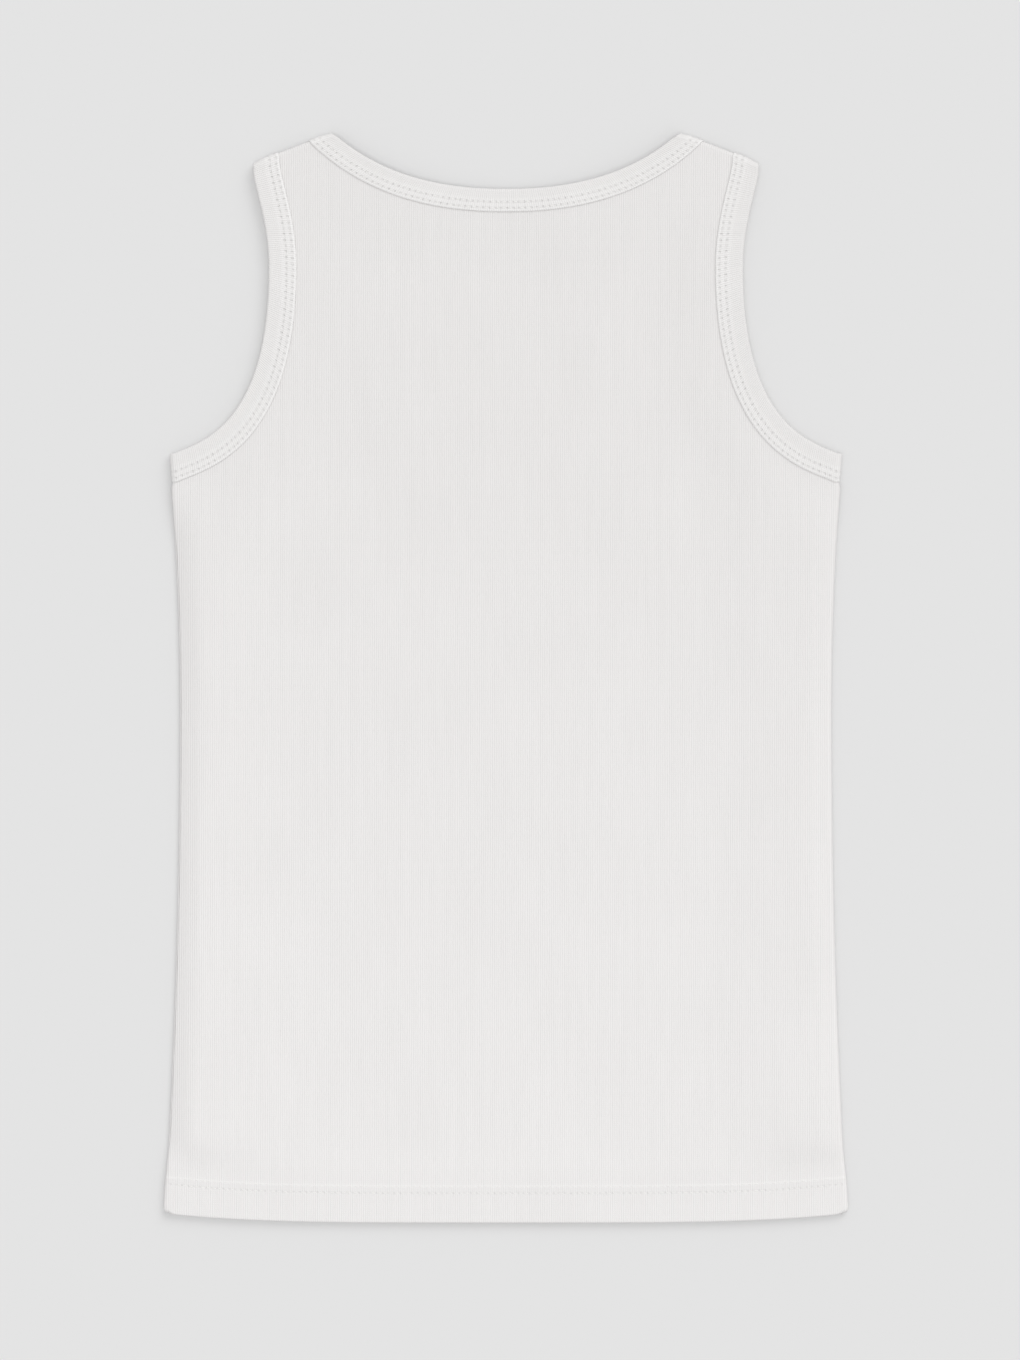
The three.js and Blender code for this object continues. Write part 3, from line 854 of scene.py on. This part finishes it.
def stitches(name, paths):
    """All the stitches of a piece. A path is its points, their normals and their count of stitches."""
    places = []
    faces = []
    base = 0
    for points, normals, count in paths:
        numbers = np.arange(math.ceil(count.min()), math.floor(count.max()))
        parts = np.linspace(0, 1, STITCH_RINGS)
        where = numbers[:, None] + 0.5 * (1 - STITCH_COVER) + parts[None] * STITCH_COVER

        def at(values):
            flat = [np.interp(where.ravel(), count, values[:, axis]) for axis in range(3)]
            return np.column_stack(flat).reshape(*where.shape, 3)

        middle = at(points)
        normal = unit(at(normals))
        to_end = (2 * parts - 1) ** STITCH_END_POWER
        rise = STITCH_ARCH * np.sin(math.pi * parts) - STITCH_SINK * to_end
        middle = middle + normal * rise[None, :, None]
        tangent = unit(np.gradient(middle, axis=1))
        beside = np.cross(tangent, normal)
        girth = THREAD_RADIUS * (1 - STITCH_TAPER * to_end)[None, :, None]
        rings = []
        for angle in np.arange(STITCH_SIDES) * math.tau / STITCH_SIDES:
            rings.append(middle + girth * (math.cos(angle) * beside + math.sin(angle) * normal))
        grid = np.stack(rings, axis=2)
        ids = base + np.arange(grid.shape[0] * STITCH_RINGS * STITCH_SIDES).reshape(grid.shape[:3])
        following = np.roll(ids, -1, axis=2)
        side = np.stack([ids[:, :-1], following[:, :-1], following[:, 1:], ids[:, 1:]], axis=-1)
        faces += side.reshape(-1, 4).tolist()
        faces += ids[:, 0, ::-1].tolist()
        faces += ids[:, -1].tolist()
        places.append(grid.reshape(-1, 3))
        base += grid.shape[0] * STITCH_RINGS * STITCH_SIDES
    return mesh_object(name, np.vstack(places), faces, {})


# Materials. A Mix node of colours has these sockets
MIX_SHARE = 0
MIX_FROM = 6
MIX_TO = 7
MIX_RESULT = 2


class Nodes:
    """A short way to write a material's maths."""

    def __init__(self, material):
        material.use_nodes = True
        self.tree = material.node_tree
        self.shader = self.tree.nodes["Principled BSDF"]

    def link(self, source, socket):
        if isinstance(source, (int, float)):
            socket.default_value = source
        else:
            self.tree.links.new(source, socket)

    def math(self, operation, *inputs):
        node = self.tree.nodes.new("ShaderNodeMath")
        node.operation = operation
        for socket, source in zip(node.inputs, inputs):
            self.link(source, socket)
        return node.outputs[0]

    def parts(self, map_name):
        """Both coordinates of a UV map, in millimetres or stitches."""
        uv = self.tree.nodes.new("ShaderNodeUVMap")
        uv.uv_map = map_name
        split = self.tree.nodes.new("ShaderNodeSeparateXYZ")
        self.tree.links.new(uv.outputs[0], split.inputs[0])
        return split.outputs[0], split.outputs[1]

    def ramp(self, value, low, high, to_low=0.0, to_high=1.0):
        node = self.tree.nodes.new("ShaderNodeMapRange")
        node.interpolation_type = "SMOOTHSTEP"
        sources = (value, low, high, to_low, to_high)
        for socket, source in zip(node.inputs, sources):
            self.link(source, socket)
        return node.outputs[0]

    def noise(self, crosswise, lengthwise, wide, long, detail=2.0):
        """Smooth noise with its own grain size each way, about 0.5."""
        join = self.tree.nodes.new("ShaderNodeCombineXYZ")
        self.link(self.math("DIVIDE", crosswise, wide), join.inputs[0])
        self.link(self.math("DIVIDE", lengthwise, long), join.inputs[1])
        node = self.tree.nodes.new("ShaderNodeTexNoise")
        node.inputs["Scale"].default_value = 1.0
        node.inputs["Detail"].default_value = detail
        self.tree.links.new(join.outputs[0], node.inputs["Vector"])
        return node.outputs["Fac"]

    def colour(self, share, dark, light):
        node = self.tree.nodes.new("ShaderNodeMix")
        node.data_type = "RGBA"
        self.link(share, node.inputs[MIX_SHARE])
        node.inputs[MIX_FROM].default_value = (*dark, 1)
        node.inputs[MIX_TO].default_value = (*light, 1)
        return node.outputs[MIX_RESULT]

    def bump(self, height, distance, before=None):
        node = self.tree.nodes.new("ShaderNodeBump")
        node.inputs["Distance"].default_value = distance
        self.link(height, node.inputs["Height"])
        if before is not None:
            self.tree.links.new(before, node.inputs["Normal"])
        return node.outputs[0]


# Depths of the surface's relief, in metres
RIB_HEIGHT = 0.00015
DIMPLE_HEIGHT = 0.0002
STREAK_HEIGHT = 0.00005
CLOUD_HEIGHT = 0.0006
TWIST_HEIGHT = 0.00003

# Grain sizes across the wales and along them, in millimetres
WANDER_GRAIN = (9, 26)
FUZZ_GRAIN = (0.35, 0.3)
STREAK_GRAIN = (3.2, 55)
CLOUD_GRAIN = (34, 48)
FUZZ_DETAIL = 3.0
CLOUD_DETAIL = 1.0

# The knit's relief: how far wales wander, how round they are, how the loops slant, and each part's share
WANDER = 0.5
RIDGE_POWER = 0.7
LOOP_SLANT = 1.1
LOOP_SHARE = 0.16
FUZZ_SHARE = 0.25
FURROW_SHARE = 0.25

# Where a needle hole, the furrow along a row and a painted highlight line are at full strength, and where
# they end
HOLE_REACH = (0.2, 0.75)
FURROW_REACH = (0.1, 0.8)
HIGHLIGHT_CORE = 0.2

# How much of the light colour each part brings, all scaled by the last. The ridges' share paints shade into
# the rib valleys, and the holes' share paints shade into the needle holes
VALLEY_SHADE = 0.55
STREAK_LIGHT = 0.5
CLOUD_LIGHT = 0.45
HOLE_SHADE = 0.65
LIGHT_SCALE = 0.5

# Finish of the cloth and of the thread
CLOTH_ROUGHNESS = 0.92
CLOTH_SPECULAR = 0.2
CLOTH_SHEEN = 0.12
SHEEN_ROUGHNESS = 0.6
THREAD_ROUGHNESS = 0.7
THREAD_SPECULAR = 0.3
TWIST_SCALE = 900
TWIST_DISTORTION = 1.5


def rib_material(name, light, dark, rows, highlight_lines, depth=1.0, light_falloff=0.0):
    """Fine rib knit: ridges along the wales, chevron loops in each, soft streaks, and needle dimples.

    rows are the distances from the edge of rows with needle holes. highlight_lines are painted highlights
    along the sewing, on its raised lip and lines: distance from the edge, half width and strength. depth is
    how deep the holes are and how much shade is painted in them, light_falloff is how much lighter the cloth
    is painted at the hem than at the shoulders, as stronger light there, and the rib valleys are painted
    darker than the ridges, as shade.
    """
    material = bpy.data.materials.new(name)
    nodes = Nodes(material)
    crosswise, lengthwise = nodes.parts("cloth")
    stitch, from_edge = nodes.parts("seam")

    # Wales wander a little, as knitted yarn does
    wander = nodes.noise(crosswise, lengthwise, *WANDER_GRAIN)
    place = nodes.math("ADD", crosswise, nodes.math("MULTIPLY", wander, WANDER))
    wale = nodes.math("FRACT", nodes.math("DIVIDE", place, RIB_PITCH))
    off_centre = nodes.math("ABSOLUTE", nodes.math("SUBTRACT", wale, 0.5))
    round_ridge = nodes.math("COSINE", nodes.math("MULTIPLY", off_centre, math.pi))
    ridge = nodes.math("POWER", round_ridge, RIDGE_POWER)
    slant = nodes.math("MULTIPLY", off_centre, LOOP_SLANT)
    course = nodes.math("ADD", nodes.math("DIVIDE", lengthwise, COURSE_PITCH), slant)
    loop = nodes.math("SINE", nodes.math("MULTIPLY", course, math.tau))
    loops = nodes.math("MULTIPLY", nodes.math("MULTIPLY", loop, ridge), LOOP_SHARE)
    fuzz = nodes.math("MULTIPLY", nodes.noise(crosswise, lengthwise, *FUZZ_GRAIN, FUZZ_DETAIL), FUZZ_SHARE)
    knit = nodes.math("ADD", nodes.math("ADD", ridge, loops), fuzz)

    # Needle holes between the stitches of each row, and a furrow along it
    row_gaps = [nodes.math("ABSOLUTE", nodes.math("SUBTRACT", from_edge, row)) for row in rows]
    row_gap = nodes.math("MINIMUM", row_gaps[0], row_gaps[-1])
    phase = nodes.math("FRACT", nodes.math("ADD", stitch, 0.5))
    from_hole = nodes.math("ABSOLUTE", nodes.math("SUBTRACT", phase, 0.5))
    along_gap = nodes.math("MULTIPLY", from_hole, STITCH_PITCH)
    gap_squared = nodes.math("ADD", nodes.math("POWER", row_gap, 2.0), nodes.math("POWER", along_gap, 2.0))
    hole = nodes.ramp(nodes.math("SQRT", gap_squared), *HOLE_REACH, 1.0, 0.0)
    furrow = nodes.math("MULTIPLY", nodes.ramp(row_gap, *FURROW_REACH, 1.0, 0.0), -FURROW_SHARE)
    sewing = nodes.math("ADD", nodes.math("MULTIPLY", hole, -1.0), furrow)

    streaks = nodes.noise(crosswise, lengthwise, *STREAK_GRAIN)
    clouds = nodes.noise(crosswise, lengthwise, *CLOUD_GRAIN, CLOUD_DETAIL)

    # Rib valleys and needle holes are painted a little darker than the ridges, as shade; streaks and clouds
    # vary the yarn's own tone
    tone_and_light = nodes.math("MULTIPLY", ridge, VALLEY_SHADE)
    tone_and_light = nodes.math("ADD", tone_and_light, nodes.math("MULTIPLY", streaks, STREAK_LIGHT))
    tone_and_light = nodes.math("ADD", tone_and_light, nodes.math("MULTIPLY", clouds, CLOUD_LIGHT))
    # Painted light, stronger towards the hem than at the shoulders
    tone_and_light = nodes.math("ADD", tone_and_light, nodes.ramp(lengthwise, HIGH_POINT[1], HEM_MIDDLE, 0.0, light_falloff))
    # Painted highlights along the sewing, on the raised lip and between and beyond the rows
    for distance, reach, strength in highlight_lines:
        away = nodes.math("ABSOLUTE", nodes.math("SUBTRACT", from_edge, distance))
        tone_and_light = nodes.math("ADD", tone_and_light, nodes.ramp(away, HIGHLIGHT_CORE, reach, strength, 0.0))
    # Painted shade in the needle holes
    tone_and_light = nodes.math("SUBTRACT", tone_and_light, nodes.math("MULTIPLY", hole, HOLE_SHADE * depth))
    colour = nodes.colour(nodes.math("MULTIPLY", tone_and_light, LIGHT_SCALE), dark, light)
    nodes.link(colour, nodes.shader.inputs["Base Color"])

    low = nodes.bump(streaks, STREAK_HEIGHT)
    low = nodes.bump(clouds, CLOUD_HEIGHT, low)
    sewn = nodes.bump(sewing, DIMPLE_HEIGHT * depth, low)
    nodes.link(nodes.bump(knit, RIB_HEIGHT, sewn), nodes.shader.inputs["Normal"])
    nodes.shader.inputs["Roughness"].default_value = CLOTH_ROUGHNESS
    nodes.shader.inputs["Specular IOR Level"].default_value = CLOTH_SPECULAR
    nodes.shader.inputs["Sheen Weight"].default_value = CLOTH_SHEEN
    nodes.shader.inputs["Sheen Roughness"].default_value = SHEEN_ROUGHNESS
    return material


def thread_material(name, light, dark):
    """Twisted sewing thread, a little brighter than the cloth."""
    material = bpy.data.materials.new(name)
    nodes = Nodes(material)
    place = nodes.tree.nodes.new("ShaderNodeTexCoord")
    wave = nodes.tree.nodes.new("ShaderNodeTexWave")
    wave.bands_direction = "DIAGONAL"
    wave.inputs["Scale"].default_value = TWIST_SCALE
    wave.inputs["Distortion"].default_value = TWIST_DISTORTION
    nodes.tree.links.new(place.outputs["Object"], wave.inputs["Vector"])
    nodes.link(nodes.colour(wave.outputs["Fac"], dark, light), nodes.shader.inputs["Base Color"])
    nodes.link(nodes.bump(wave.outputs["Fac"], TWIST_HEIGHT), nodes.shader.inputs["Normal"])
    nodes.shader.inputs["Roughness"].default_value = THREAD_ROUGHNESS
    nodes.shader.inputs["Specular IOR Level"].default_value = THREAD_SPECULAR
    return material


# Ends of each cloth's colour mix, which carries the yarn's tone and also painted shade, highlights and light
BODY_LIGHT = (0.898, 0.884, 0.879)
BODY_DARK = (0.769, 0.754, 0.745)
BAND_LIGHT = (0.909, 0.897, 0.890)
BAND_DARK = (0.784, 0.770, 0.761)
THREAD_LIGHT = (0.92, 0.91, 0.90)
THREAD_DARK = (0.84, 0.83, 0.81)
# Panels: their needle holes' depth and painted shade, and painted light that grows from the shoulders to the
# hem
HEM_HOLES = 0.6
HEM_LIGHT_FALLOFF = 0.6

# Painted highlights along the sewing: the hem's upper row, and on a binding its lip, between its rows and
# beyond them
BETWEEN_ROWS = 3.25
BEYOND_ROWS = 6.1
HEM_HIGHLIGHT = [(HEM_ROWS[1], 0.9, 0.5)]
BAND_HIGHLIGHTS = [(LIP, 1.0, 1.05), (BETWEEN_ROWS, 1.4, 0.45), (BEYOND_ROWS, 1.5, 0.45)]

panel_cloth = rib_material(
    "rib_knit_panel", BODY_LIGHT, BODY_DARK, HEM_ROWS[:1], HEM_HIGHLIGHT, HEM_HOLES, HEM_LIGHT_FALLOFF)
binding_cloth = rib_material("rib_knit_binding", BAND_LIGHT, BAND_DARK, BAND_ROWS, BAND_HIGHLIGHTS)
thread = thread_material("sewing_thread", THREAD_LIGHT, THREAD_DARK)


def dress(node, material, piece, paths):
    """Puts one sewn piece and its stitches in the place of its CAD node."""
    piece.data.materials.append(material)
    sewing = stitches(f"{node}_stitches", paths)
    sewing.data.materials.append(thread)
    for obj in (piece, sewing):
        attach(obj, "root")
    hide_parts(node)


front, front_rows = panel(
    "front_panel_cloth", -1, FRONT_NECK_EDGE, front_height, front_middle, back_middle,
    BACK_NECK_EDGE, strap_level=(152, 160), neck_columns=24, strap_columns=14, strap_rows=34, upper_rows=14)
dress("front_panel", panel_cloth, front, front_rows)

back, back_rows = panel(
    "back_panel_cloth", 1, BACK_NECK_EDGE, back_height, back_middle, front_middle,
    FRONT_NECK_EDGE, strap_level=(205, 229), neck_columns=28, strap_columns=14, strap_rows=12, upper_rows=38)
dress("back_panel", panel_cloth, back, back_rows)

neck, neck_rows = neck_binding("neck_binding_cloth")
dress("neck_binding", binding_cloth, neck, neck_rows)
for side, mirrored in (("left", True), ("right", False)):
    piece, rows = armhole_binding(f"armhole_binding_{side}_cloth", mirrored)
    dress(f"armhole_binding_{side}", binding_cloth, piece, rows)

# Floor, lights and camera
FLOOR_COLOUR = (0.76, 0.76, 0.76)
FLOOR_ROUGHNESS = 0.95
FLOOR_SPECULAR = 0.1
FLOOR_SIZE = 6.0
FLOOR_DROP = 0.00005
SKY_STRENGTH = 0.698


def floor():
    half = FLOOR_SIZE / 2
    mesh = bpy.data.meshes.new("floor")
    corners = [(-half, -half, -FLOOR_DROP), (half, -half, -FLOOR_DROP),
               (half, half, -FLOOR_DROP), (-half, half, -FLOOR_DROP)]
    mesh.from_pydata(corners, [], [(0, 1, 2, 3)])
    obj = bpy.data.objects.new("floor", mesh)
    bpy.context.scene.collection.objects.link(obj)
    material = bpy.data.materials.new("pale_floor")
    material.use_nodes = True
    shader = material.node_tree.nodes["Principled BSDF"]
    shader.inputs["Base Color"].default_value = (*FLOOR_COLOUR, 1)
    shader.inputs["Roughness"].default_value = FLOOR_ROUGHNESS
    shader.inputs["Specular IOR Level"].default_value = FLOOR_SPECULAR
    mesh.materials.append(material)


def sun(name, elevation, azimuth, spread, strength):
    """Even soft light from one side: azimuth is counted from +X towards +Y, and spread is its full angle."""
    light = bpy.data.lights.new(name, "SUN")
    light.angle = math.radians(spread)
    light.energy = strength
    obj = bpy.data.objects.new(name, light)
    obj.rotation_euler = (0, math.radians(90 - elevation), math.radians(azimuth))
    bpy.context.scene.collection.objects.link(obj)


def lighting():
    sun("overhead_softbox", elevation=82, azimuth=234, spread=40, strength=0.55)
    sun("key_upper_right", elevation=39, azimuth=54, spread=40, strength=0.74)
    world = bpy.data.worlds.new("studio")
    world.use_nodes = True
    background = world.node_tree.nodes["Background"]
    background.inputs["Color"].default_value = (1, 1, 1, 1)
    background.inputs["Strength"].default_value = SKY_STRENGTH
    bpy.context.scene.world = world
    bpy.context.scene.view_settings.view_transform = "Standard"


# The photograph looks straight down. MM_PER_PIXEL is its scale at the cloth's height, CLOTH_LEVEL
PHOTO_HEIGHT_PIXELS = 1360
MM_PER_PIXEL = 0.4484
CAMERA_HEIGHT = 3.5
CLOTH_LEVEL = 0.003
SENSOR = 36.0
CLIP_END = 20
PICTURE_MIDDLE = (0.00185, -0.0012)


def camera():
    data = bpy.data.cameras.new("camera")
    data.sensor_width = SENSOR
    distance = CAMERA_HEIGHT - CLOTH_LEVEL
    data.lens = SENSOR * distance / (PHOTO_HEIGHT_PIXELS * MM_PER_PIXEL * METRE)
    data.clip_end = CLIP_END
    obj = bpy.data.objects.new("camera", data)
    obj.location = (*PICTURE_MIDDLE, CAMERA_HEIGHT)
    bpy.context.scene.collection.objects.link(obj)
    bpy.context.scene.camera = obj


floor()
lighting()
camera()
